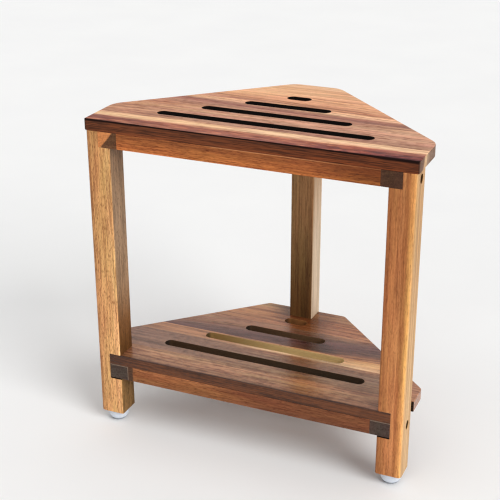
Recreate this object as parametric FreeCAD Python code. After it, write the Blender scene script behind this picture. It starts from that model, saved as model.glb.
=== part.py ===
import FreeCAD, Part
import os
import math

V = FreeCAD.Vector

# Corner shower stool: a triangular seat with drain slots over a matching
# shelf, on three square legs with levelling feet. Millimetres, +Z up,
# +X along the front edge, +Y towards the wall corner. The origin is on the
# floor, under the middle of the overall box.

# ---- overall -------------------------------------------------------------
WIDTH = 457.0            # along the front edge
DEPTH = 272.0            # front edge to back edge of the seat
HEIGHT = 461.0           # floor to seat
Y_FRONT = -DEPTH / 2.0   # the front plane

# ---- seat and shelf panels ----------------------------------------------
PANEL_T = 16.0           # thickness of both panels
SIDE_LEN = 78.5          # straight side, square to the front edge
DIAG = 307.0             # diagonal edges lie on x + depth = DIAG
SEAT_R = 28.0            # seat corner radius, at both ends of a diagonal
SHELF_TOP = 114.0
SHELF_BACK = 245.5       # the shelf is shorter than the seat
SHELF_R = 8.0
FRONT_CORNER_R = 2.5     # the front corners are almost sharp
EASE = 1.2               # rounding of the panels' long edges
SLOT_EASE = 0.7          # rounding of the slots' rims

# drain slots, the same in both panels
SLOT_FIRST = 64.5        # depth of the first slot's middle
SLOT_PITCH = 44.75
SLOT_COUNT = 4
SLOT_W = 16.0
SLOT_TIP = 216.0         # slot tips lie on x + depth = SLOT_TIP

# glue lines between the staves, as depth behind the front edge
SEAT_GLUE = [0.0, 43.0, 84.0, 121.0, 165.0, 210.0, 252.0, 272.0]
SHELF_GLUE = [0.0, 41.0, 96.0, 121.0, 177.0, 220.0, 245.5]

# ---- legs ----------------------------------------------------------------
LEG = 36.0               # square section
LEG_BOTTOM = 17.0        # underside of a leg above the floor
LEG_OUT = 227.0          # outer face of a front leg
BACK_LEG_FRONT = 217.0   # depth of the back leg's front face
LEG_R_OUT = 4.5          # rounding of the outer vertical edges
LEG_R_IN = 3.0           # rounding of the inner vertical edges
LEG_CHAMFER = 1.5        # round the foot of a leg
NOTCH = 18.0             # depth of a notch: half the leg
NOTCH_GAP = 2.0          # play under the lower rails

# ---- rails and blocks ----------------------------------------------------
RAIL_H = 21.5
RAIL_T = 20.0            # front rail thickness
RAIL_EASE = 0.5          # rounding of every rail and block edge
BLOCK_IN = 181.0         # inner face of a corner block
BLOCK_OUT = 209.0        # outer face of a corner block, against the leg
SIDE_IN = 246.0          # inner face of a side rail: x + depth
SIDE_OUT = 274.0         # outer face of a side rail: x + depth
BACK_BLOCK_FRONT = 208.0
BACK_BLOCK_BACK = 235.0
SHELF_CUT_DEPTH = 41.0   # the shelf's front corners are cut away to here
BACK_CUT_PLAY = 0.3      # play beside the back leg

# ---- leg bolts, M6 -------------------------------------------------------
BOLT_Z_UP = 434.0
BOLT_Z_LOW = 91.5
CBORE_R = 6.3
CBORE_DEPTH = 9.5
BOLT_HOLE_R = 3.3
BOLT_R = 2.95
BOLT_LEN = 25.0
BOLT_HEAD_R = 5.0
BOLT_HEAD_H = 6.0
HEX_AF = 5.0
HEX_DEPTH = 3.0
WASHER_R = 6.0
WASHER_HOLE_R = 3.2
WASHER_T = 1.5
INSERT_R = 4.85
INSERT_HOLE_R = 4.9
INSERT_BORE_R = 3.05
INSERT_LEN = 14.0
INSERT_POCKET = 17.0

# ---- wood screws, 4 x 30 -------------------------------------------------
SCREW_R = 2.0
SCREW_HOLE_R = 2.2
SCREW_HEAD_R = 4.0
SCREW_HEAD_H = 2.4
SCREW_LEN = 30.0
# places as (x, depth), mirrored in x
SCREWS_MIRRORED = [(120.0, 10.0), (188.0, 49.0), (158.0, 102.0),
                   (117.0, 143.0), (72.0, 188.0), (22.0, 214.5)]
SCREWS_MIDDLE = [(0.0, 10.0)]

# ---- levelling feet ------------------------------------------------------
PAD_TOP = 16.7           # just clear of the leg
PAD_R = 14.8
PAD_FLAT_R = 8.5         # flat that meets the floor
STUD_R = 4.0
STUD_BOTTOM = 6.0
STUD_TOP = 47.0
STUD_BORE_R = 4.08       # running clearance for the stud
FOOT_INSERT_R = 6.0
FOOT_INSERT_HOLE_R = 6.05
FOOT_INSERT_LEN = 18.0
STUD_WELL_R = 4.8
STUD_WELL_TOP = 51.0


def at(depth):
    """Row-frame y of a depth behind the front plane."""
    return Y_FRONT + depth


def prism(points, z0, z1):
    """A prism from (x, depth) points, between two heights."""
    pts = [V(x, at(d), z0) for x, d in points]
    wire = Part.makePolygon(pts + [pts[0]])
    return Part.Face(wire).extrude(V(0, 0, z1 - z0))


def box(x0, x1, d0, d1, z0, z1):
    return Part.makeBox(x1 - x0, d1 - d0, z1 - z0, V(x0, at(d0), z0))


def cyl(r, h, base, direction):
    return Part.makeCylinder(r, h, base, direction)


def upright_edges(shape, places, tol=0.05):
    """Vertical edges that stand at the given (x, depth) places."""
    out = []
    for e in shape.Edges:
        a, b = e.Vertexes[0].Point, e.Vertexes[-1].Point
        if abs(a.x - b.x) > 1e-6 or abs(a.y - b.y) > 1e-6:
            continue
        for x, d in places:
            if abs(a.x - x) < tol and abs(a.y - at(d)) < tol:
                out.append(e)
    return out


def level_edges(shape, heights, keep):
    """Edges that lie wholly at one of the heights and pass keep(edge)."""
    out = []
    for e in shape.Edges:
        bb = e.BoundBox
        for z in heights:
            if abs(bb.ZMin - z) < 1e-4 and abs(bb.ZMax - z) < 1e-4 and keep(e):
                out.append(e)
    return out


def mirror_x(shape):
    return shape.mirror(V(0, 0, 0), V(1, 0, 0))


def slot_solids(z0, z1):
    """The drain slots as solids that run past both faces of a panel."""
    out = []
    for k in range(SLOT_COUNT):
        d = SLOT_FIRST + SLOT_PITCH * k
        half = SLOT_TIP - d - SLOT_W / 2.0
        s = box(-half, half, d - SLOT_W / 2.0, d + SLOT_W / 2.0, z0 - 2, z1 + 2)
        for sx in (-half, half):
            s = s.fuse(cyl(SLOT_W / 2.0, z1 - z0 + 4, V(sx, at(d), z0 - 2), V(0, 0, 1)))
        out.append(s.removeSplitter())
    return out


def is_slot_edge(e):
    bb = e.BoundBox
    for k in range(SLOT_COUNT):
        d = SLOT_FIRST + SLOT_PITCH * k
        tip = SLOT_TIP - d
        if (bb.XMin > -tip - 0.1 and bb.XMax < tip + 0.1
                and bb.YMin > at(d) - SLOT_W / 2.0 - 0.1
                and bb.YMax < at(d) + SLOT_W / 2.0 + 0.1):
            return True
    return False


def panel(back, corner_r, z0, z1, cuts):
    """A panel with its corners rounded, slots cut and long edges eased."""
    hw = WIDTH / 2.0
    side_end = DIAG - hw
    back_x = DIAG - back
    pts = [(-hw, 0), (hw, 0), (hw, side_end), (back_x, back),
           (-back_x, back), (-hw, side_end)]
    s = prism(pts, z0, z1)
    s = s.makeFillet(corner_r, upright_edges(s, pts[2:]))
    s = s.makeFillet(FRONT_CORNER_R, upright_edges(s, pts[:2]))
    for c in cuts:
        s = s.cut(c)
    s = s.makeFillet(EASE, level_edges(s, [z0, z1], lambda e: True))
    for c in slot_solids(z0, z1):
        s = s.cut(c)
    s = s.makeFillet(SLOT_EASE, level_edges(s, [z0, z1], is_slot_edge))
    return s


def staves(shape, lines, z0, z1):
    out = []
    for d0, d1 in zip(lines[:-1], lines[1:]):
        piece = shape.common(box(-WIDTH, WIDTH, d0 - (1 if d0 == 0 else 0),
                                 d1 + (1 if d1 == lines[-1] else 0), z0 - 1, z1 + 1))
        out.append(piece.removeSplitter())
    return out


def screw_places():
    places = list(SCREWS_MIDDLE)
    for x, d in SCREWS_MIRRORED:
        places += [(x, d), (-x, d)]
    return places


def screw_holes(z_low):
    """Clearance for the wood screws, with countersinks in the rail."""
    out = []
    for x, d in screw_places():
        p = V(x, at(d), z_low - 1)
        h = cyl(SCREW_HOLE_R, SCREW_LEN + 2.0, p, V(0, 0, 1))
        h = h.fuse(Part.makeCone(SCREW_HEAD_R + 0.4, SCREW_HOLE_R, SCREW_HEAD_H + 0.3,
                                 V(x, at(d), z_low), V(0, 0, 1)))
        h = h.fuse(cyl(SCREW_HEAD_R + 0.4, 1.0, p, V(0, 0, 1)))
        out.append(h)
    return out


def screws(z_low):
    """Countersunk wood screws with a cross recess, heads just below flush."""
    out = []
    z = z_low + 0.3
    for x, d in screw_places():
        s = Part.makeCone(SCREW_HEAD_R, SCREW_R, SCREW_HEAD_H, V(x, at(d), z), V(0, 0, 1))
        s = s.fuse(cyl(SCREW_R, SCREW_LEN - 4.0 - SCREW_HEAD_H,
                       V(x, at(d), z + SCREW_HEAD_H), V(0, 0, 1)))
        s = s.fuse(Part.makeCone(SCREW_R, 0.4, 4.0, V(x, at(d), z + SCREW_LEN - 4.0), V(0, 0, 1)))
        for ang in (45, 135):
            b = Part.makeBox(4.2, 0.9, 1.6, V(-2.1, -0.45, -0.1))
            b.rotate(V(0, 0, 0), V(0, 0, 1), ang)
            b.translate(V(x, at(d), z))
            s = s.cut(b)
        out.append(s.removeSplitter())
    return out


def hexagon(af, height):
    """A hexagonal prism on the Z axis."""
    r = af / math.sqrt(3.0)
    pts = [V(r * math.cos(math.radians(60 * i)), r * math.sin(math.radians(60 * i)), 0)
           for i in range(6)]
    return Part.Face(Part.makePolygon(pts + [pts[0]])).extrude(V(0, 0, height))


def along(shape, base, direction):
    """Stand a shape made on +Z at base, pointing along direction."""
    s = shape.copy()
    s.Placement = FreeCAD.Placement(base, FreeCAD.Rotation(V(0, 0, 1), direction))
    return s


# Each bolt as (point on the leg's outer face, direction into the leg).
BOLTS = []
for bz in (BOLT_Z_UP, BOLT_Z_LOW):
    BOLTS.append((V(LEG_OUT, at(LEG / 2.0), bz), V(-1, 0, 0)))
    BOLTS.append((V(-LEG_OUT, at(LEG / 2.0), bz), V(1, 0, 0)))
    BOLTS.append((V(0, at(BACK_LEG_FRONT + LEG), bz), V(0, -1, 0)))

SEAT_Z0 = HEIGHT - PANEL_T
SHELF_Z0 = SHELF_TOP - PANEL_T
UP_Z0 = SEAT_Z0 - RAIL_H
LOW_Z0 = SHELF_Z0 - RAIL_H
FOOT_PLACES = {"front_left": (-(LEG_OUT - LEG / 2.0), LEG / 2.0),
               "front_right": (LEG_OUT - LEG / 2.0, LEG / 2.0),
               "back": (0.0, BACK_LEG_FRONT + LEG / 2.0)}

parts = {}

# ---- panels --------------------------------------------------------------
seat = panel(DEPTH, SEAT_R, SEAT_Z0, HEIGHT, [])
shelf_cuts = [box(BLOCK_OUT, WIDTH, -5, SHELF_CUT_DEPTH, SHELF_Z0 - 2, SHELF_TOP + 2)]
shelf_cuts.append(mirror_x(shelf_cuts[0]))
shelf_cuts.append(box(-LEG / 2.0 - BACK_CUT_PLAY, LEG / 2.0 + BACK_CUT_PLAY,
                      BACK_LEG_FRONT + NOTCH, DEPTH, SHELF_Z0 - 2, SHELF_TOP + 2))
shelf = panel(SHELF_BACK, SHELF_R, SHELF_Z0, SHELF_TOP, shelf_cuts)
up_holes = Part.makeCompound(screw_holes(UP_Z0))
low_holes = Part.makeCompound(screw_holes(LOW_Z0))
for tool in up_holes.Solids:
    seat = seat.cut(tool)
for tool in low_holes.Solids:
    shelf = shelf.cut(tool)
for i, s in enumerate(staves(seat, SEAT_GLUE, SEAT_Z0, HEIGHT)):
    tail = "_front" if i == 0 else "_back" if i == len(SEAT_GLUE) - 2 else ""
    parts["seat_stave_%d%s" % (i + 1, tail)] = s
for i, s in enumerate(staves(shelf, SHELF_GLUE, SHELF_Z0, SHELF_TOP)):
    tail = "_front" if i == 0 else "_back" if i == len(SHELF_GLUE) - 2 else ""
    parts["shelf_stave_%d%s" % (i + 1, tail)] = s

# ---- legs ----------------------------------------------------------------


def leg_body(x0, x1, d0, d1, outer, inner):
    s = box(x0, x1, d0, d1, LEG_BOTTOM, SEAT_Z0)
    s = s.makeFillet(LEG_R_OUT, upright_edges(s, outer))
    s = s.makeFillet(LEG_R_IN, upright_edges(s, inner))
    s = s.makeChamfer(LEG_CHAMFER, level_edges(s, [LEG_BOTTOM], lambda e: True))
    return s


def leg_drillings():
    """Bolt holes with counterbores, and the wells for the feet."""
    out = []
    for p, n in BOLTS:
        out.append(cyl(CBORE_R, CBORE_DEPTH + 5, p - n * 5, n))
        out.append(cyl(BOLT_HOLE_R, NOTCH + 1, p, n))
    for x, d in FOOT_PLACES.values():
        out.append(cyl(FOOT_INSERT_HOLE_R, FOOT_INSERT_LEN + 0.5 + 1, V(x, at(d), LEG_BOTTOM - 1), V(0, 0, 1)))
        out.append(cyl(STUD_WELL_R, STUD_WELL_TOP - LEG_BOTTOM, V(x, at(d), LEG_BOTTOM), V(0, 0, 1)))
    return out


LI = LEG_OUT - LEG
right_leg = leg_body(LI, LEG_OUT, 0, LEG,
                     [(LEG_OUT, 0), (LEG_OUT, LEG)], [(LI, 0), (LI, LEG)])
for z0, z1 in ((UP_Z0, SEAT_Z0 + 1), (LOW_Z0 - NOTCH_GAP, SHELF_TOP)):
    right_leg = right_leg.cut(box(LI - 1, LI + NOTCH, -1, LEG + 1, z0, z1))
left_leg = mirror_x(right_leg)
BL0, BL1 = BACK_LEG_FRONT, BACK_LEG_FRONT + LEG
back_leg = leg_body(-LEG / 2.0, LEG / 2.0, BL0, BL1,
                    [(-LEG / 2.0, BL1), (LEG / 2.0, BL1)],
                    [(-LEG / 2.0, BL0), (LEG / 2.0, BL0)])
for z0, z1 in ((UP_Z0, SEAT_Z0 + 1), (LOW_Z0 - NOTCH_GAP, SHELF_TOP)):
    back_leg = back_leg.cut(box(-LEG, LEG, BL0 - 1, BL0 + NOTCH, z0, z1))
for name, s in (("leg_front_left", left_leg), ("leg_front_right", right_leg), ("leg_back", back_leg)):
    for tool in leg_drillings():
        s = s.cut(tool)
    parts[name] = s

# ---- rails and blocks, the same on both levels ---------------------------
for level, z0, holes in (("upper", UP_Z0, up_holes), ("lower", LOW_Z0, low_holes)):
    z1 = z0 + RAIL_H
    made = {}
    made["front_rail"] = box(-BLOCK_IN, BLOCK_IN, 0, RAIL_T, z0, z1)
    block = prism([(BLOCK_IN, 0), (BLOCK_OUT, 0), (BLOCK_OUT, SIDE_IN - BLOCK_OUT),
                   (BLOCK_IN, SIDE_IN - BLOCK_IN)], z0, z1)
    made["corner_block_right"] = block
    made["corner_block_left"] = mirror_x(block)
    side = prism([(BLOCK_OUT, SIDE_IN - BLOCK_OUT), (BLOCK_OUT, SIDE_OUT - BLOCK_OUT),
                  (SIDE_OUT - BACK_BLOCK_BACK, BACK_BLOCK_BACK),
                  (SIDE_IN - BACK_BLOCK_BACK, BACK_BLOCK_BACK)], z0, z1)
    made["side_rail_right"] = side
    made["side_rail_left"] = mirror_x(side)
    f, b = SIDE_IN - BACK_BLOCK_FRONT, SIDE_IN - BACK_BLOCK_BACK
    made["back_block"] = prism([(-f, BACK_BLOCK_FRONT), (f, BACK_BLOCK_FRONT),
                                (b, BACK_BLOCK_BACK), (-b, BACK_BLOCK_BACK)], z0, z1)
    for name, s in made.items():
        s = s.makeFillet(RAIL_EASE, s.Edges)
        for tool in holes.Solids:
            s = s.cut(tool)
        for p, n in BOLTS:
            s = s.cut(cyl(INSERT_HOLE_R, INSERT_POCKET, p + n * NOTCH, n))
        parts["%s_%s" % (level, name)] = s.removeSplitter()

# ---- fasteners -----------------------------------------------------------
bolt = cyl(BOLT_HEAD_R, BOLT_HEAD_H, V(0, 0, 0), V(0, 0, 1))
bolt = bolt.makeFillet(0.6, [e for e in bolt.Edges if abs(e.BoundBox.ZMin) < 1e-6 and abs(e.BoundBox.ZMax) < 1e-6])
bolt = bolt.cut(hexagon(HEX_AF, HEX_DEPTH))
bolt = bolt.fuse(cyl(BOLT_R, BOLT_LEN - 0.8, V(0, 0, BOLT_HEAD_H), V(0, 0, 1)))
bolt = bolt.fuse(Part.makeCone(BOLT_R, BOLT_R - 0.8, 0.8, V(0, 0, BOLT_HEAD_H + BOLT_LEN - 0.8), V(0, 0, 1)))
bolt = bolt.removeSplitter()
washer = cyl(WASHER_R, WASHER_T, V(0, 0, 0), V(0, 0, 1)).cut(
    cyl(WASHER_HOLE_R, WASHER_T + 2, V(0, 0, -1), V(0, 0, 1)))
insert = cyl(INSERT_R, INSERT_LEN, V(0, 0, 0), V(0, 0, 1)).cut(
    cyl(INSERT_BORE_R, INSERT_LEN + 2, V(0, 0, -1), V(0, 0, 1)))
parts["leg_bolts"] = Part.makeCompound(
    [along(bolt, p + n * (CBORE_DEPTH - WASHER_T - BOLT_HEAD_H), n) for p, n in BOLTS])
parts["leg_bolt_washers"] = Part.makeCompound(
    [along(washer, p + n * (CBORE_DEPTH - WASHER_T), n) for p, n in BOLTS])
parts["leg_bolt_inserts"] = Part.makeCompound(
    [along(insert, p + n * (NOTCH + 0.2), n) for p, n in BOLTS])
parts["seat_screws"] = Part.makeCompound(screws(UP_Z0))
parts["shelf_screws"] = Part.makeCompound(screws(LOW_Z0))

# ---- levelling feet ------------------------------------------------------


def foot_pad():
    """A domed glide on the Z axis, with a well for its stud."""
    p = [V(0, 0, 0), V(PAD_FLAT_R, 0, 0), V(12.6, 0, 4.6), V(PAD_R, 0, 11.5),
         V(PAD_R - 0.2, 0, PAD_TOP - 1.2), V(PAD_R - 1.4, 0, PAD_TOP), V(0, 0, PAD_TOP)]
    edges = [Part.LineSegment(p[0], p[1]).toShape(),
             Part.Arc(p[1], p[2], p[3]).toShape(),
             Part.LineSegment(p[3], p[4]).toShape(),
             Part.Arc(p[4], V(PAD_R - 0.52, 0, PAD_TOP - 0.32), p[5]).toShape(),
             Part.LineSegment(p[5], p[6]).toShape(),
             Part.LineSegment(p[6], p[0]).toShape()]
    s = Part.Face(Part.Wire(edges)).revolve(V(0, 0, 0), V(0, 0, 1), 360)
    return s.cut(cyl(STUD_BORE_R, PAD_TOP, V(0, 0, STUD_BOTTOM), V(0, 0, 1)))


def foot_stud():
    s = cyl(STUD_R, STUD_TOP - STUD_BOTTOM, V(0, 0, STUD_BOTTOM), V(0, 0, 1))
    return s.makeChamfer(0.8, level_edges(s, [STUD_TOP], lambda e: True))


pad, stud = foot_pad(), foot_stud()
sleeve = cyl(FOOT_INSERT_R, FOOT_INSERT_LEN, V(0, 0, LEG_BOTTOM), V(0, 0, 1)).cut(
    cyl(STUD_BORE_R, FOOT_INSERT_LEN + 2, V(0, 0, LEG_BOTTOM - 1), V(0, 0, 1)))
sleeves = []
for name, (x, d) in FOOT_PLACES.items():
    for kind, shape in (("foot_pad", pad), ("foot_stud", stud)):
        s = shape.copy()
        s.translate(V(x, at(d), 0))
        parts["%s_%s" % (kind, name)] = s
    s = sleeve.copy()
    s.translate(V(x, at(d), 0))
    sleeves.append(s)
parts["foot_inserts"] = Part.makeCompound(sleeves)

# ---- one file for each node ---------------------------------------------
os.makedirs("parts", exist_ok=True)
for name in sorted(parts):
    shape = parts[name]
    solids = shape.Solids
    if not solids or not shape.isValid():
        raise RuntimeError("bad solid in " + name)
    if len(solids) == 1:
        shape = solids[0]
    print("%-28s %3d solid(s) %12.1f mm3" % (name, len(solids), shape.Volume))
    shape.exportStep("parts/%s.step" % name)
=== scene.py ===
import bpy
import bmesh
import math
from mathutils import Matrix, Vector


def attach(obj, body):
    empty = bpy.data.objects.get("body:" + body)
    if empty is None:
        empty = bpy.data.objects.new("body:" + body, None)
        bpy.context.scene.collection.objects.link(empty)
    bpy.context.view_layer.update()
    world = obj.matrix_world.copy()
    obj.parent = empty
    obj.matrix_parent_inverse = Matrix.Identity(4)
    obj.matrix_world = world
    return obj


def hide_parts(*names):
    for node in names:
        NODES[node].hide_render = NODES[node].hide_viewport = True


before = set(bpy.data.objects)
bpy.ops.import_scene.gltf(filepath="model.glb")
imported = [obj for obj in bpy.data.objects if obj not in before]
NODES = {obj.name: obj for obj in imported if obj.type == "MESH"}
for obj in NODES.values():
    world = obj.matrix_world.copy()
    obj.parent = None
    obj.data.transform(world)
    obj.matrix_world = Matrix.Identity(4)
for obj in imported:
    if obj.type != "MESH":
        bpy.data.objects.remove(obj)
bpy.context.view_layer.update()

# Sizes below are in millimetres unless they say otherwise. "depth" runs back
# from the front edge: y = depth - 136.
FRONT = 136.0
SEAT_TOP, SEAT_LOW = 461.0, 445.0
SHELF_TOP, SHELF_LOW = 114.0, 98.0
SLOTS = [(64.5 + 44.75 * k, 216.0 - (64.5 + 44.75 * k) - 8.0) for k in range(4)]   # (depth, half length of the straight part)
FEET = {"front_left": (-209.0, 18.0), "front_right": (209.0, 18.0), "back": (0.0, 235.0)}


# --------------------------------------------------------------------------
# shader helpers
# --------------------------------------------------------------------------
def lin(c):
    """Display colour, 0 to 255, as linear light with alpha."""
    out = []
    for v in c:
        v = max(0.0, min(255.0, v)) / 255.0
        out.append(v / 12.92 if v <= 0.04045 else ((v + 0.055) / 1.055) ** 2.4)
    return (out[0], out[1], out[2], 1.0)


class Tree:
    """One procedural material, built node by node."""

    def __init__(self, name):
        self.mat = bpy.data.materials.new(name)
        self.mat.use_nodes = True
        self.nt = self.mat.node_tree
        self.nt.nodes.clear()
        self.out = self.nt.nodes.new("ShaderNodeOutputMaterial")
        self.bsdf = self.nt.nodes.new("ShaderNodeBsdfPrincipled")
        self.nt.links.new(self.bsdf.outputs[0], self.out.inputs[0])
        tc = self.nt.nodes.new("ShaderNodeTexCoord")
        self.normal = tc.outputs["Normal"]
        sep = self.nt.nodes.new("ShaderNodeSeparateXYZ")
        self.put(sep.inputs[0], tc.outputs["Object"])
        self.X = self.mul(sep.outputs[0], 1000.0)
        self.D = self.math("MULTIPLY_ADD", sep.outputs[1], 1000.0, FRONT)
        self.Z = self.mul(sep.outputs[2], 1000.0)

    def put(self, socket, value):
        if isinstance(value, bpy.types.NodeSocket):
            self.nt.links.new(value, socket)
        elif value is not None:
            socket.default_value = value

    def math(self, op, a, b=None, c=None, clamp=False):
        n = self.nt.nodes.new("ShaderNodeMath")
        n.operation = op
        n.use_clamp = clamp
        for s, v in zip(n.inputs, (a, b, c)):
            self.put(s, v)
        return n.outputs[0]

    def mul(self, a, b):
        return self.math("MULTIPLY", a, b)

    def add(self, *terms):
        total = terms[0]
        for t in terms[1:]:
            total = self.math("ADD", total, t)
        return total

    def sub(self, a, b):
        return self.math("SUBTRACT", a, b)

    def mad(self, a, b, c):
        return self.math("MULTIPLY_ADD", a, b, c)

    def lowest(self, *terms):
        total = terms[0]
        for t in terms[1:]:
            total = self.math("MINIMUM", total, t)
        return total

    def highest(self, *terms):
        total = terms[0]
        for t in terms[1:]:
            total = self.math("MAXIMUM", total, t)
        return total

    def vec(self, x, y, z):
        n = self.nt.nodes.new("ShaderNodeCombineXYZ")
        for s, v in zip(n.inputs, (x, y, z)):
            self.put(s, v)
        return n.outputs[0]

    def noise(self, v, detail=2.0, rough=0.5, dist=0.0):
        n = self.nt.nodes.new("ShaderNodeTexNoise")
        n.noise_dimensions = "3D"
        self.put(n.inputs["Vector"], v)
        n.inputs["Scale"].default_value = 1.0
        n.inputs["Detail"].default_value = detail
        n.inputs["Roughness"].default_value = rough
        n.inputs["Distortion"].default_value = dist
        return n.outputs[0]

    def step(self, v, lo, hi, a=0.0, b=1.0):
        """Smooth step from a to b as v goes from lo to hi."""
        n = self.nt.nodes.new("ShaderNodeMapRange")
        n.interpolation_type = "SMOOTHSTEP"
        for s, x in zip(n.inputs[:5], (v, lo, hi, a, b)):
            self.put(s, x)
        return n.outputs[0]

    def ramp(self, fac, stops):
        n = self.nt.nodes.new("ShaderNodeValToRGB")
        self.put(n.inputs[0], fac)
        cr = n.color_ramp
        while len(cr.elements) > 1:
            cr.elements.remove(cr.elements[-1])
        cr.elements[0].position = stops[0][0]
        cr.elements[0].color = stops[0][1]
        for p, c in stops[1:]:
            e = cr.elements.new(p)
            e.color = c
        return n.outputs[0]

    def mix(self, fac, a, b, mode="MIX"):
        n = self.nt.nodes.new("ShaderNodeMix")
        n.data_type = "RGBA"
        n.blend_type = mode
        self.put(n.inputs[0], fac)
        self.put(n.inputs[6], a)
        self.put(n.inputs[7], b)
        return n.outputs[2]

    def blend(self, fac, a, b):
        n = self.nt.nodes.new("ShaderNodeMix")
        n.data_type = "RGBA"
        n.clamp_factor = False
        self.put(n.inputs[0], fac)
        self.put(n.inputs[6], a)
        self.put(n.inputs[7], b)
        return n.outputs[2]

    def scale(self, col, k):
        n = self.nt.nodes.new("ShaderNodeVectorMath")
        n.operation = "SCALE"
        self.put(n.inputs[0], col[:3] if isinstance(col, tuple) else col)
        self.put(n.inputs["Scale"], k)
        return n.outputs[0]

    def facing(self, axis, lo=0.6, hi=0.9):
        """1 where the surface faces along axis."""
        n = self.nt.nodes.new("ShaderNodeVectorMath")
        n.operation = "DOT_PRODUCT"
        self.put(n.inputs[0], self.normal)
        n.inputs[1].default_value = axis
        return self.step(n.outputs["Value"], lo, hi)

    def bump(self, height, strength, distance_mm):
        n = self.nt.nodes.new("ShaderNodeBump")
        n.inputs["Strength"].default_value = strength
        n.inputs["Distance"].default_value = distance_mm / 1000.0
        self.put(n.inputs["Height"], height)
        return n.outputs[0]


# --------------------------------------------------------------------------
# wood
# --------------------------------------------------------------------------
def grain_axes(t, grain, org):
    """(along the grain, across it, through it) as sockets, about org = (x, depth, z)."""
    x, d, z = t.sub(t.X, org[0]), t.sub(t.D, org[1]), t.sub(t.Z, org[2])
    if grain == "X":        # staves
        return x, d, z
    if grain == "XZ":       # front rails: bands lie one above the other
        return x, z, d
    if grain == "Z":        # legs
        return z, x, d
    if grain == "Y":        # blocks: end grain to the front
        return d, x, z
    s = 1.0 if grain == "DR" else -1.0   # side rails, at 45 degrees
    u = t.mul(t.sub(t.mul(x, s), d), math.sqrt(0.5))
    w = t.mul(t.add(t.mul(x, s), d), math.sqrt(0.5))
    return u, z, w


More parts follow.
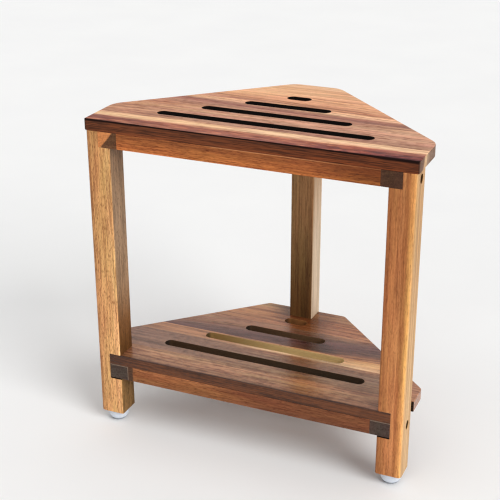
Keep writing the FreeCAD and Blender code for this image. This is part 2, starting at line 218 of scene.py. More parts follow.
def wood(name, grain, org, bands, seed, slope=0.0, curve=0.0, tilt=0.0,
         wave=(5.0, 240.0, 50.0), ripple=(1.0, 60.0, 12.0), pith=(0.0, -70.0), ring=(0.25, 4.0),
         tone=((1.20, 1.18, 1.12), (0.66, 0.57, 0.52)), broad=(0.30, 320.0, 9.0), mid=(0.70, 150.0, 3.0),
         fine=(0.50, 60.0, 1.5), fleck=(0.45, 14.0, 1.0, 0.60), hue=(0.05, 110.0, 15.0), mottle=0.06, feather=2.5,
         ends=0.8, edge=None, edge_gain=1.22, edge_w=2.2, rough=(0.42, 0.60), gloss=0.16, bump=0.35, grit=(0.3, 6.0, 2.6), wide=1.0, post=None):
    """Solid wood. bands = [(place across the grain, display colour)], warped along the grain and frayed by
    streaks. Streaks of three widths, growth rings about a pith line, short dark flecks and a short, fine figure (grit)
    are (amount, length, width) and swing the colour between a light and a dark tone; mottling, a
    slow change of hue, darker end grain and lighter edges, worn and with a painted highlight, come on top. wide > 1
    spreads the streaks of a flat-sawn board over its broad face."""
    t = Tree(name)
    u, v, w = grain_axes(t, grain, org)
    o = seed * 17.31

    def stretched(length, width, k, detail=2.0, r=0.55, across=None, flat=1.0):
        return t.noise(t.vec(t.mad(u, 1.0 / length, o * k), t.mad(v if across is None else across, 1.0 / (width * flat), o * (k + 0.37)),
                             t.mad(w, 1.0 / width, o * (k + 0.71))), detail, r)

    n1 = stretched(wave[1], wave[2], 1.0, 1.0)
    n2 = stretched(ripple[1], ripple[2], 1.3)
    v2 = t.add(v, t.mad(n1, wave[0] * 2.0, -wave[0]), t.mad(n2, ripple[0] * 2.0, -ripple[0]))
    if slope:
        v2 = t.mad(u, slope, v2)
    if curve:
        v2 = t.mad(t.mul(u, u), curve / 100.0, v2)
    sa = t.step(stretched(broad[1], broad[2], 0.6, 2.0, 0.5, v2), 0.34, 0.66)
    plain = 0.0 if wide == 1.0 else 1.0
    sb = t.step(stretched(mid[1], mid[2], 0.8, 2.0 - plain, 0.55, v2, wide), 0.33, 0.67)
    sc = t.step(stretched(fine[1], fine[2], 0.4, 1.0 - plain, 0.5, v2, wide), 0.30, 0.70)
    fl = t.step(stretched(fleck[1], fleck[2], 0.2, 1.0 - plain, 0.5, v2, wide), fleck[3], fleck[3] + 0.09)
    f = stretched(40.0, 0.7, 0.1, 1.0, 0.5, v2)
    pore = t.step(stretched(7.0, 0.42, 0.5, 0.0, 0.5, v2), 0.66, 0.74)
    c = t.mad(w, tilt, v2) if tilt else v2
    if feather:
        c = t.add(c, t.mad(sb, feather, -0.5 * feather), t.mad(sa, feather, -0.5 * feather))
    lo, hi = bands[0][0], bands[-1][0]
    fac = t.math("MULTIPLY_ADD", c, 1.0 / (hi - lo), -lo / (hi - lo), clamp=True)
    col = t.ramp(fac, [((q - lo) / (hi - lo), lin(k)) for q, k in bands])
    # growth rings round the pith
    dv, dw = t.sub(v2, pith[0]), t.sub(w, pith[1])
    r = t.math("SQRT", t.add(t.mul(dv, dv), t.mul(dw, dw)))
    s0 = t.noise(t.vec(t.mul(r, 1.0 / ring[1]), t.mad(u, 1.0 / 420.0, o * 2.1), o), 3.0, 0.6)
    s = t.step(s0, 0.32, 0.68)
    g = t.step(stretched(grit[1] * (1.0 + 0.6 * plain), grit[2], 1.1, 2.0 - plain, 0.6, v2, wide), 0.30, 0.70)
    total = t.add(t.mad(sa, broad[0], 0.5 - 0.5 * (broad[0] + mid[0] + fine[0] + ring[0] + grit[0])), t.mul(sb, mid[0]),
                  t.mul(sc, fine[0]), t.mul(s, ring[0]), t.mul(fl, fleck[0]), t.mul(g, grit[0]))
    total = t.math("MINIMUM", t.math("MAXIMUM", total, 0.0), 1.3)
    light = t.mix(1.0, col, (*tone[0], 1.0), "MULTIPLY")
    dark = t.mix(1.0, col, (*tone[1], 1.0), "MULTIPLY")
    col = t.blend(total, light, dark)
    m = stretched(hue[1], hue[2], 1.7, 2.0)
    warm = t.step(m, 0.3, 0.7)
    col = t.mix(1.0, col, t.mix(warm, (1.0 + hue[0], 1.0 - 0.4 * hue[0], 1.0 - 0.2 * hue[0], 1.0),
                                (1.0 - hue[0], 1.0 + 0.4 * hue[0], 1.0 - 0.6 * hue[0], 1.0)), "MULTIPLY")
    gain = t.add(t.mad(n2, mottle * 2.0, 1.0 - mottle), t.mad(f, 0.24, -0.12))
    gain = t.mul(gain, t.mad(pore, -0.30, 1.015))
    axis = {"X": (1, 0, 0), "XZ": (1, 0, 0), "Z": (0, 0, 1), "Y": (0, 1, 0),
            "DR": (0.7071, -0.7071, 0), "DL": (-0.7071, -0.7071, 0)}[grain]
    if ends != 1.0:
        e = t.add(t.facing(axis, 0.7, 0.95), t.facing(tuple(-q for q in axis), 0.7, 0.95))
        gain = t.mul(gain, t.mad(e, ends - 1.0, 1.0))
    if edge is not None:
        k = edge(t, u, v, w)
        # edges lighter from wear and from a painted highlight
        edge_wear_and_highlight = t.step(k, 0.0, t.mad(n2, edge_w * 1.6, edge_w * 0.2), 1.0, 0.0)
        gain = t.mul(gain, t.mad(edge_wear_and_highlight, edge_gain - 1.0, 1.0))
    col = t.scale(col, gain)
    ctx = {"u": u, "v": v, "w": w, "c": c, "s": s, "f": f, "m": m, "p": fl, "n1": n1, "n2": n2, "sa": sa, "sb": sb, "sc": sc,
           "total": total}
    if post is not None:
        col = post(t, col, ctx)
    t.put(t.bsdf.inputs["Base Color"], col)
    ro = t.add(t.mad(f, 0.12, rough[0] - 0.03), t.mul(s, (rough[1] - rough[0]) * 0.6), t.mul(fl, 0.15), t.mad(m, 0.12, -0.06))
    if "dull" in ctx:
        ro = t.mad(ctx["dull"], 0.6, ro)
    t.put(t.bsdf.inputs["Roughness"], ro)
    t.bsdf.inputs["Specular IOR Level"].default_value = gloss
    h = t.add(t.mul(f, 0.55), t.mul(s0, 0.4), t.mul(sb, -0.25), t.mul(fl, -0.8), t.mul(pore, -0.7))
    t.put(t.bsdf.inputs["Normal"], t.bump(h, bump, 0.25))
    return t.mat


def box_edge(u0, u1, v0, v1, w0, w1):
    """Distance along the surface of a box to its nearest edge, in grain axes."""
    def f(t, u, v, w):
        a = t.lowest(t.sub(u, u0), t.sub(u1, u))
        b = t.lowest(t.sub(v, v0), t.sub(v1, v))
        c = t.lowest(t.sub(w, w0), t.sub(w1, w))
        return t.highest(t.lowest(a, b), t.lowest(t.highest(a, b), c))
    return f


def slot_distance(t, k):
    """Distance to the wall of drain slot k: 0 on the wall, growing outwards."""
    d, half = SLOTS[k]
    qx = t.math("MAXIMUM", t.sub(t.math("ABSOLUTE", t.X), half), 0.0)
    qd = t.sub(t.D, d)
    return t.sub(t.math("SQRT", t.add(t.mul(qx, qx), t.mul(qd, qd))), 8.0)


def panel_edge(back, top, low, slots=()):
    """Distance along a panel's surface to its outline or a slot's rim."""
    def f(t, u, v, w):
        ax = t.math("ABSOLUTE", t.X)
        out = t.lowest(t.D, t.sub(228.5, ax), t.sub(back, t.D),
                       t.mul(t.sub(307.0, t.add(ax, t.D)), math.sqrt(0.5)))
        for k in slots:
            out = t.lowest(out, slot_distance(t, k))
        return t.highest(out, t.lowest(t.sub(top, t.Z), t.sub(t.Z, low)))
    return f


def walls(t, col, ctx, tints):
    """Colours the walls of drain slots, changing from left to right, with a painted shadow at the left tip. tints =
    {slot: (display colour on the left, on the right)}.
    """
    for k, (c0, c1) in tints.items():
        m = t.step(slot_distance(t, k), 0.25, 0.75, 1.0, 0.0)
        half = SLOTS[k][1]
        # painted shadow at the left tip of each wall
        tip = t.step(t.X, -half - 7.0, -half - 3.0, 0.30, 1.0)
        c = t.mix(t.step(t.X, -half, half * 0.35), lin(c0), lin(c1))
        col = t.mix(m, col, t.scale(c, t.mul(tip, t.mad(ctx["f"], 0.5, 0.75))))
        ctx["dull"] = m
    return col


def streaky(t, colour, ctx, k=0.5):
    """An even colour, given the streaks of the wood it lies in."""
    base = colour if isinstance(colour, bpy.types.NodeSocket) else lin(colour)
    return t.scale(base, t.mad(ctx["total"], -k, 1.0 + 0.5 * k))


def use(node, mat):
    NODES[node].data.materials.clear()
    NODES[node].data.materials.append(mat)


# ---- seat ----------------------------------------------------------------
def seat_front_post(t, col, ctx):
    # the sapwood band is calm, with only faint streaks
    pale = t.mul(t.step(ctx["c"], 26.0, 30.0), t.step(ctx["c"], 42.5, 39.5))
    col = t.mix(t.mul(pale, 0.50), col, lin((241, 196, 157)))
    white = (1.0, 1.0, 1.0, 1.0)
    col = t.mix(1.0, col, t.mix(t.mul(pale, t.step(t.X, 10.0, -60.0)), white, (0.97, 0.95, 0.87, 1.0)), "MULTIPLY")
    # streaks of darker heartwood in the front strip, deeper red to the right
    strip = t.step(ctx["c"], 27.0, 23.0)
    thread = t.step(t.noise(t.vec(t.mul(t.X, 1.0 / 120.0), t.mul(ctx["c"], 1.0 / 5.2), 7.7), 2.0, 0.6), 0.45, 0.60)
    col = t.mix(t.mul(strip, t.mul(thread, t.step(t.X, 50.0, 115.0, 0.80, 0.25))), col, lin((114, 60, 52)))
    red = t.mul(t.step(t.X, 100.0, 195.0), t.step(t.add(t.D, t.mul(ctx["sb"], 7.0), t.mul(ctx["n2"], 6.0)), 27.0, 9.0))
    col = t.mix(t.mul(red, 0.30), col, streaky(t, (128, 54, 45), ctx, 0.6))
    fray = t.step(t.noise(t.vec(t.mul(t.X, 1.0 / 30.0), t.mul(t.D, 1.0 / 7.0), 3.9), 1.0, 0.6), 0.46, 0.52)
    fray = t.mul(fray, t.mul(t.step(t.X, 20.0, 120.0, 0.40, 1.0), t.step(t.add(t.D, t.mul(ctx["n2"], 8.0)), 27.0, 17.0)))
    col = t.mix(t.mul(fray, 0.88), col, lin((88, 28, 28)))
    # along the strip: lightest right of the middle, then red, then a darker plum
    glow = t.mul(strip, t.mul(t.step(t.X, 10.0, 70.0), t.step(t.X, 128.0, 96.0)))
    col = t.mix(1.0, col, t.mix(glow, white, (1.34, 1.34, 1.24, 1.0)), "MULTIPLY")
    col = t.mix(1.0, col, t.mix(t.mul(strip, t.step(t.X, 100.0, 136.0)), white, (0.88, 0.69, 0.62, 1.0)), "MULTIPLY")
    col = t.mix(1.0, col, t.mix(t.mul(strip, t.step(t.X, 148.0, 182.0)), white, (0.86, 0.94, 1.22, 1.0)), "MULTIPLY")
    # greyer and lighter next to the front arris, darker at both ends
    rim = t.mul(t.step(t.D, 12.5, 7.5), t.step(t.X, 165.0, 140.0))
    col = t.mix(1.0, col, t.mix(rim, white, (1.13, 1.29, 1.30, 1.0)), "MULTIPLY")
    rim = t.mul(t.step(t.D, 18.5, 14.5), t.step(t.X, 140.0, 172.0))
    col = t.mix(1.0, col, t.mix(rim, white, (0.83, 0.74, 0.82, 1.0)), "MULTIPLY")
    rim = t.mul(t.mul(t.step(t.D, 15.0, 18.0), t.step(t.D, 25.5, 22.0)), t.step(t.X, -140.0, -168.0))
    col = t.mix(1.0, col, t.mix(rim, white, (0.70, 0.63, 0.64, 1.0)), "MULTIPLY")
    # the front face is darker heartwood, redder low down
    face = t.facing((0, -1, 0), 0.55, 0.9)
    rise = t.step(t.add(t.Z, t.mul(t.X, 0.003), t.mul(ctx["n2"], 6.0), t.mul(ctx["sa"], 3.0)), 450.0, 464.0)
    tone = t.mix(rise, lin((110, 56, 27)), lin((91, 47, 24)))
    tone = t.mix(1.0, tone, t.mix(t.step(t.X, -60.0, 160.0), (1.0, 1.0, 1.0, 1.0), (1.03, 0.91, 0.74, 1.0)), "MULTIPLY")
    dim = t.step(t.math("ABSOLUTE", t.add(t.X, 30.0)), 15.0, 75.0, 0.84, 1.0)
    col = t.mix(face, col, t.scale(streaky(t, tone, ctx, 0.75), dim))
    # dark line along the front arris, and down its ends
    near = t.highest(t.D, t.sub(SEAT_TOP, t.Z))
    wide = t.add(t.step(t.X, 40.0, 210.0, 0.68, 1.20), t.step(t.X, -135.0, -200.0, 0.0, 0.40))
    line = t.step(near, t.mul(t.mad(ctx["n2"], 1.8, 0.6), wide), t.mul(t.mad(ctx["n2"], 2.6, 1.6), wide), 1.0, 0.0)
    col = t.mix(t.mul(line, 0.97), col, lin((18, 4, 3)))
    ctx["dull"] = line
    end = t.highest(t.D, t.sub(228.5, t.math("ABSOLUTE", t.X)))
    col = t.mix(t.step(end, 0.8, t.step(t.X, 0.0, -200.0, 2.6, 4.2), 0.8, 0.0), col, lin((30, 15, 12)))
    return seat_end(t, col, ctx)


def seat_end(t, col, ctx):
    """Greyer end grain on the short sides."""
    end = t.add(t.facing((1, 0, 0), 0.6, 0.9), t.facing((-1, 0, 0), 0.6, 0.9))
    lines = t.noise(t.vec(t.mul(t.Z, 1.0 / 16.0), t.mul(t.D, 1.0 / 2.6), 2.2), 3.0, 0.6)
    bend = t.add(t.D, t.mul(t.sub(SEAT_TOP, t.Z), 0.35), t.mul(lines, 6.0))
    tone = t.ramp(t.mul(bend, 1.0 / 84.0), [(0.0, lin((94, 66, 48))), (0.26, lin((112, 82, 58))), (0.34, lin((212, 172, 128))),
                                            (0.41, lin((202, 164, 120))), (0.48, lin((122, 94, 72))), (1.0, lin((100, 78, 62)))])
    return t.mix(t.mul(end, 0.85), col, t.scale(tone, t.step(lines, 0.3, 0.7, 1.18, 0.80)))


def seat_post(tints, end=False, left=None):
    def f(t, col, ctx):
        if left:   # redder towards the left end
            m = t.step(t.add(t.X, t.mul(ctx["sa"], 60.0)), -150.0, -20.0, 0.85, 0.0)
            col = t.mix(m, col, t.mix(1.0, col, (*left, 1.0), "MULTIPLY"))
        if end:
            col = seat_end(t, col, ctx)
        return walls(t, col, ctx, tints)
    return f


# painted shade: near-black walls for the seat's slots, which lie in shade
SLOT_SHADE_BLACK = ((6, 2, 1), (6, 2, 1))
SEAT = [
    # name, bands (depth, colour), extras
    ("seat_stave_1_front", dict(
        bands=[(0, (161, 95, 77)), (9, (174, 104, 81)), (19, (180, 108, 82)), (22.5, (179, 110, 86)), (25.5, (226, 172, 136)),
               (32, (246, 204, 166)), (38, (246, 204, 162)), (42, (226, 176, 140)), (43, (202, 153, 124))],
        slope=-0.004, tilt=-0.35, wave=(2.0, 300.0, 70.0), ripple=(0.9, 60.0, 11.0), feather=3.0,
        mid=(0.75, 80.0, 2.6), fine=(0.95, 30.0, 1.3), grit=(0.28, 12.0, 2.4), post=seat_front_post)),
    ("seat_stave_2", dict(
        bands=[(43, (185, 138, 113)), (50, (183, 138, 117)), (58, (192, 142, 121)), (70, (199, 148, 124)), (84, (203, 152, 130))],
        wave=(5.0, 200.0, 50.0), tilt=-0.3, broad=(0.25, 200.0, 9.0), mid=(0.42, 70.0, 2.8), grit=(0.34, 6.0, 3.0), post=seat_post({0: SLOT_SHADE_BLACK}, True, (1.0, 0.92, 0.82)))),
    ("seat_stave_3", dict(
        bands=[(84, (202, 152, 124)), (95, (205, 156, 129)), (108, (201, 151, 123)), (121, (190, 138, 114))],
        wave=(6.0, 180.0, 45.0), mid=(0.40, 80.0, 2.8), grit=(0.30, 6.0, 3.0), post=seat_post({1: SLOT_SHADE_BLACK}, False, (0.95, 0.86, 0.76)))),
    ("seat_stave_4", dict(
        bands=[(115, (188, 137, 113)), (122, (186, 137, 116)), (128, (170, 118, 99)), (134, (152, 100, 84)), (140, (154, 102, 84)),
               (145, (194, 147, 121)), (149, (240, 193, 158)), (156, (240, 191, 154)), (161, (218, 163, 125)), (168, (198, 141, 107))],
        slope=0.053, wave=(3.0, 200.0, 60.0), feather=3.0, post=seat_post({2: SLOT_SHADE_BLACK}, False, (0.87, 0.78, 0.73)))),
    ("seat_stave_5", dict(
        bands=[(165, (197, 142, 118)), (174, (211, 152, 119)), (184, (219, 162, 125)), (196, (235, 177, 139)), (210, (239, 184, 143))],
        slope=0.05, wave=(6.0, 160.0, 40.0), feather=3.5, fine=(0.28, 70.0, 1.8), fleck=(0.25, 14.0, 1.0, 0.60), grit=(0.16, 8.0, 2.8), post=seat_post({3: SLOT_SHADE_BLACK}))),
    ("seat_stave_6", dict(
        bands=[(210, (236, 182, 142)), (225, (240, 187, 146)), (240, (235, 183, 143)), (252, (223, 169, 131))],
        wave=(6.0, 200.0, 50.0), mid=(0.45, 140.0, 3.4), fine=(0.14, 90.0, 2.0), fleck=(0.12, 14.0, 1.0, 0.60), grit=(0.08, 10.0, 3.0))),
    ("seat_stave_7_back", dict(
        bands=[(252, (209, 160, 123)), (254, (230, 184, 145)), (264, (238, 192, 156)), (272, (234, 186, 148))],
        wave=(2.0, 200.0, 50.0), mid=(0.45, 140.0, 3.4), fine=(0.14, 90.0, 2.0), fleck=(0.12, 14.0, 1.0, 0.60), grit=(0.08, 10.0, 3.0))),
]
for i, (node, kw) in enumerate(SEAT):
    near = [k for k, (d, _) in enumerate(SLOTS) if kw["bands"][0][0] - 9 < d < kw["bands"][-1][0] + 9]
    kw.setdefault("pith", (kw["bands"][0][0] - 30.0, -95.0))
    use(node, wood("wood_" + node, "X", (0.0, 0.0, SEAT_TOP), seed=1.0 + i, ends=0.74,
                   edge=panel_edge(272.0, SEAT_TOP, SEAT_LOW, near), edge_gain=1.08, edge_w=1.6, bump=0.25, wide=2.0, **kw))


# ---- shelf ---------------------------------------------------------------
def painted_back_leg_shade(t, col, ctx, k, shade, rear=False):
    """Painted shadow and reflection of the back leg: darker, richer wood in a band running forward from its foot."""
    if rear:
        g = t.sub(215.0, t.D)
        q = t.add(t.math("ABSOLUTE", t.sub(t.X, t.add(t.mul(t.mul(g, g), 0.0035), t.mad(g, 0.30, 8.0)))), t.mul(ctx["sa"], 7.0), t.mul(ctx["n2"], 4.0))
        m = t.mul(t.step(q, 17.0, t.mad(t.highest(t.sub(t.D, 140.0), 0.0), 0.32, 42.0), k, 0.0), t.step(t.D, 100.0, 118.0))
    else:
        g = t.math("POWER", t.highest(t.mul(t.sub(240.0, t.D), 1.0 / 220.0), 0.0), 3.0)
        q = t.add(t.math("ABSOLUTE", t.sub(t.X, t.mad(g, 60.0, 30.0))), t.mul(ctx["sa"], 12.0), t.mul(ctx["n2"], 5.0))
        m = t.step(q, t.mad(g, 6.0, 8.0), t.mad(g, 16.0, 46.0), k, 0.0)
    return t.mix(m, col, t.mix(1.0, col, (*shade, 1.0), "MULTIPLY"))


def shelf_front_post(t, col, ctx):
    # painted shadow and reflection of the back leg
    col = painted_back_leg_shade(t, col, ctx, 0.85, (0.94, 0.79, 0.60))
    # and painted shade beside the left leg
    foot = t.step(t.add(t.X, t.mul(t.D, 0.4), t.mul(ctx["sa"], 14.0)), -178.0, -142.0, 0.75, 0.0)
    col = t.mix(foot, col, t.mix(1.0, col, (0.66, 0.52, 0.40, 1.0), "MULTIPLY"))
    face = t.facing((0, -1, 0), 0.55, 0.9)
    col = t.mix(face, col, streaky(t, (93, 52, 28), ctx, 0.75))
    left = t.mul(face, t.step(t.add(t.X, t.mul(ctx["n2"], 8.0)), -196.0, -170.0, 0.45, 0.0))
    col = t.mix(left, col, lin((44, 27, 20)))
    near = t.highest(t.D, t.sub(SHELF_TOP, t.Z))
    line = t.step(near, t.mad(ctx["n2"], 1.2, 0.3), t.mad(ctx["n2"], 2.0, 1.2), 1.0, 0.0)
    return t.mix(t.mul(line, 0.8), col, lin((46, 25, 19)))


def shelf_post(tints, cut=False, left=None, leg=False, leg_shade_run=None):
    def f(t, col, ctx):
        # painted shadow and reflection of the back leg
        if leg_shade_run:
            col = painted_back_leg_shade(t, col, ctx, *leg_shade_run)
        if left:   # duller towards the left end
            m = t.step(t.add(t.X, t.mul(ctx["sa"], 40.0)), left[0], left[1], left[3], 0.0)
            col = t.mix(m, col, streaky(t, left[2], ctx, 0.6))
        col = walls(t, col, ctx, tints)
        if leg:   # painted shade round the back leg's foot, and beside it on the right
            qx, qd = t.mul(t.X, 0.8), t.sub(t.D, 230.0)
            r = t.add(t.math("SQRT", t.add(t.mul(qx, qx), t.mul(qd, qd))), t.mul(ctx["sa"], 14.0))
            col = t.mix(t.step(r, 24.0, 60.0, 0.36, 0.0), col, streaky(t, (72, 40, 22), ctx, 0.5))
            right = t.mul(t.step(t.X, 5.0, 45.0), t.step(t.add(t.D, t.mul(ctx["sa"], 8.0)), 190.0, 204.0))
            col = t.mix(t.mul(right, 0.85), col, t.mix(1.0, col, (0.74, 0.69, 0.66, 1.0), "MULTIPLY"))
            col = t.mix(t.step(t.X, -20.0, -50.0), col, t.mix(1.0, col, (1.10, 1.12, 1.10, 1.0), "MULTIPLY"))
        if cut:   # redder at the right tip, and painted shade on the wall behind each front leg
            col = t.mix(t.step(t.X, 190.0, 204.0, 0.0, 0.45), col, streaky(t, (190, 124, 88), ctx, 0.6))
            m = t.mul(t.step(t.D, 41.3, 42.0, 1.0, 0.0), t.facing((0, -1, 0), 0.6, 0.9))
            col = t.mix(m, col, lin((30, 20, 15)))
        return col
    return f


# the first two are painted shade for slot walls that lie in shade; olive and brown are wood colours
SLOT_SHADE_DARK, SLOT_SHADE_DUSK = ((58, 37, 16), (54, 37, 18)), ((72, 50, 30), (92, 66, 42))
WALL_OLIVE, WALL_BROWN = ((144, 112, 64), (206, 176, 120)), ((134, 88, 42), (154, 100, 50))
SHELF = [
    ("shelf_stave_1_front", dict(
        bands=[(0, (146, 106, 80)), (8, (152, 110, 84)), (18, (168, 125, 95)), (30, (179, 135, 103)), (41, (166, 123, 95))],
        wave=(3.0, 200.0, 40.0), mid=(0.50, 90.0, 2.6), fine=(0.7, 50.0, 1.6), grit=(0.50, 6.0, 3.0), post=shelf_front_post)),
    ("shelf_stave_2", dict(
        bands=[(41, (158, 123, 94)), (55, (155, 121, 95)), (75, (151, 119, 99)), (88, (160, 119, 94)), (93.5, (160, 119, 89)),
               (95, (196, 150, 112)), (96, (216, 174, 130))],
        wave=(1.2, 260.0, 50.0), ripple=(0.6, 60.0, 10.0), mid=(0.45, 90.0, 2.6), feather=1.0, grit=(0.45, 6.0, 3.0), post=shelf_post({0: SLOT_SHADE_DARK}, True, (-120.0, 20.0, (134, 99, 83), 0.8), leg_shade_run=(0.8, (0.74, 0.62, 0.50))))),
    ("shelf_stave_3", dict(
        bands=[(96, (232, 196, 154)), (98.5, (226, 188, 146)), (101, (220, 178, 136)), (110, (228, 178, 130)), (121, (224, 164, 114))],
        wave=(2.0, 200.0, 50.0), grit=(0.12, 10.0, 2.4), post=shelf_post({1: WALL_OLIVE}, False, (-50.0, 30.0, (166, 115, 84), 0.88)))),
    ("shelf_stave_4", dict(
        bands=[(104, (183, 133, 96)), (112, (149, 99, 71)), (121, (111, 76, 64)), (134, (106, 72, 68)), (145, (112, 78, 72)),
               (152, (130, 94, 82)), (160, (151, 107, 82)), (168, (157, 114, 90)), (178, (165, 121, 96)), (188, (183, 137, 106))],
        wave=(4.0, 200.0, 50.0), slope=-0.11, feather=3.5, post=shelf_post({2: SLOT_SHADE_DUSK}, leg_shade_run=(0.95, (0.50, 0.45, 0.42), True)))),
    ("shelf_stave_5", dict(
        bands=[(177, (178, 127, 95)), (190, (178, 123, 90)), (205, (182, 125, 89)), (220, (172, 120, 84))],
        wave=(5.0, 160.0, 40.0), grit=(0.2, 8.0, 2.6), post=shelf_post({3: WALL_BROWN}, leg=True, leg_shade_run=(0.95, (0.44, 0.32, 0.20), True)))),
    ("shelf_stave_6_back", dict(
        bands=[(220, (182, 133, 99)), (232, (178, 133, 97)), (245.5, (182, 137, 102))],
        wave=(4.0, 200.0, 50.0), grit=(0.2, 8.0, 2.6), post=shelf_post({}, leg=True, leg_shade_run=(0.85, (0.58, 0.46, 0.34), True)))),
]
for i, (node, kw) in enumerate(SHELF):
    near = [k for k, (d, _) in enumerate(SLOTS) if kw["bands"][0][0] - 9 < d < kw["bands"][-1][0] + 9]
    kw.setdefault("pith", (kw["bands"][0][0] - 20.0, -80.0))
    use(node, wood("wood_" + node, "X", (0.0, 0.0, SHELF_TOP), seed=11.0 + i, ends=0.78,
                   edge=panel_edge(245.5, SHELF_TOP, SHELF_LOW, near), edge_gain=1.10, edge_w=1.4, rough=(0.17, 0.23), gloss=0.28, bump=0.2, wide=2.0, **kw))


# ---- legs ----------------------------------------------------------------
BOLT_Z = (434.0, 91.5)


def painted_bore_shade(t, col, across, centre, depth):
    """Painted shade in the counterbored bolt holes. across is the level coordinate, depth how far in from the face."""
    q = t.sub(across, centre)
    for z in BOLT_Z:
        h = t.sub(t.Z, z)
        r = t.math("SQRT", t.add(t.mul(q, q), t.mul(h, h)))
        m = t.mul(t.step(r, 6.35, 6.6, 0.95, 0.0), t.mul(t.step(depth, 0.0, 0.9), t.step(depth, 11.0, 12.0, 1.0, 0.0)))
        col = t.mix(m, col, lin((50, 30, 15)))
    return col


def painted_seat_shade(t, col):
    """Painted shade on the front legs: paler at the foot, darker towards the seat, which shades them."""
    return t.mix(1.0, col, t.mix(t.step(t.Z, 90.0, 420.0), (1.10, 1.12, 1.13, 1.0), (0.86, 0.83, 0.78, 1.0)), "MULTIPLY")


def painted_notch_shadow(t, col):
    """Painted shadow: near black in the gap under the lower corner blocks."""
    x = t.math("ABSOLUTE", t.X)
    m = t.mul(t.mul(t.step(t.Z, 74.2, 74.4), t.step(t.Z, 76.6, 77.0, 1.0, 0.0)), t.mul(t.step(x, 191.3, 191.6), t.step(x, 209.2, 209.5, 1.0, 0.0)))
    m = t.mul(m, t.mul(t.step(t.D, 0.3, 0.7), t.step(t.D, 35.3, 35.7, 1.0, 0.0)))
    return t.mix(m, col, lin((14, 8, 5)))


def leg_left_post(t, col, ctx):
    inner = t.facing((1, 0, 0), 0.5, 0.85)
    # painted shade on the inner face: darker than the front, browner just above the shelf, paler again below it, and
    # darker under the seat
    rise = t.math("MULTIPLY_ADD", t.Z, 1.0 / 360.0, -60.0 / 360.0, clamp=True)
    tone = t.ramp(rise, [((z - 60.0) / 360.0, lin(k)) for z, k in (
        (82, (134, 99, 56)), (100, (97, 62, 29)), (128, (98, 63, 30)), (165, (127, 86, 50)), (226, (160, 126, 94)),
        (310, (156, 126, 97)), (415, (152, 120, 90)))])
    lines = t.noise(t.vec(t.mul(t.Z, 1.0 / 240.0), t.mul(t.D, 1.0 / 3.2), 5.1), 3.0, 0.6)
    tone = t.scale(streaky(t, tone, ctx, 0.5), t.mul(t.step(lines, 0.3, 0.7, 1.12, 0.86), t.step(t.Z, 320.0, 410.0, 1.0, 0.84)))
    return painted_notch_shadow(t, painted_bore_shade(t, t.mix(inner, painted_seat_shade(t, col), tone), t.D, 18.0, t.add(t.X, 227.0)))


def leg_right_post(t, col, ctx):
    outer = t.facing((1, 0, 0), 0.45, 0.9)
    lines = t.noise(t.vec(t.mul(t.Z, 1.0 / 260.0), t.mul(t.D, 1.0 / 5.0), 3.3), 3.0, 0.6)
    pale = t.mix(t.step(lines, 0.35, 0.65), lin((217, 175, 124)), lin((186, 142, 98)))
    # painted shade: the pale outer face darkens towards the seat
    pale = t.mix(1.0, pale, t.mix(t.step(t.Z, 120.0, 380.0), (1.06, 1.09, 1.12, 1.0), (0.86, 0.81, 0.73, 1.0)), "MULTIPLY")
    return painted_notch_shadow(t, painted_bore_shade(t, t.mix(outer, painted_seat_shade(t, col), streaky(t, pale, ctx, 0.35)), t.D, 18.0, t.sub(227.0, t.X)))


def leg_back_post(t, col, ctx):
    # painted shade: the front darkens towards the bottom, under the seat and above the shelf
    deep = t.step(t.Z, 340.0, 120.0)
    col = t.mix(t.mul(deep, 0.9), col, t.mix(1.0, col, (0.34, 0.27, 0.17, 1.0), "MULTIPLY"))
    side = t.facing((1, 0, 0), 0.45, 0.9)
    # painted shade: the pale side is darker towards the seat
    pale = t.mix(t.step(t.Z, 360.0, 230.0), t.mix(ctx["s"], lin((192, 157, 123)), lin((169, 134, 101))),
                 t.mix(ctx["s"], lin((210, 186, 158)), lin((188, 163, 135))))
    col = t.mix(side, col, streaky(t, pale, ctx, 0.3))
    return painted_bore_shade(t, col, t.X, 0.0, t.sub(253.0, t.D))


LEGS = [
    ("leg_front_left", (-209.0, 18.0, 231.0), dict(
        bands=[(-18, (193, 140, 93)), (-9, (207, 154, 104)), (0, (215, 163, 109)), (8, (221, 171, 115)), (12, (238, 188, 132)), (18, (232, 182, 125))],
        slope=0.006, wave=(2.5, 260.0, 30.0), ripple=(0.9, 26.0, 8.0), broad=(0.30, 260.0, 7.0), mid=(0.50, 110.0, 2.2),
        fine=(0.80, 40.0, 1.3), fleck=(0.80, 6.5, 1.15, 0.55), grit=(0.2, 5.0, 1.5), post=leg_left_post)),
    ("leg_front_right", (209.0, 18.0, 231.0), dict(
        bands=[(-18, (172, 108, 65)), (-10, (182, 118, 73)), (-3, (189, 126, 79)), (2, (188, 126, 80)), (5, (175, 113, 68)), (8, (174, 112, 67)),
               (11, (203, 142, 84)), (14, (227, 166, 100)), (18, (235, 184, 120))],
        wave=(2.0, 220.0, 30.0), ripple=(1.2, 50.0, 10.0), broad=(0.45, 240.0, 7.0), mid=(0.45, 80.0, 2.6), fine=(0.40, 30.0, 1.5),
        fleck=(0.4, 10.0, 1.1, 0.60), grit=(0.30, 5.0, 1.5), post=leg_right_post)),
    ("leg_back", (0.0, 235.0, 231.0), dict(
        bands=[(-18, (150, 114, 77)), (-6, (144, 110, 73)), (6, (141, 108, 71)), (18, (146, 110, 73))],
        wave=(2.0, 260.0, 30.0), mid=(0.7, 120.0, 2.4), fine=(0.5, 40.0, 1.4), grit=(0.25, 5.0, 1.5), post=leg_back_post)),
]
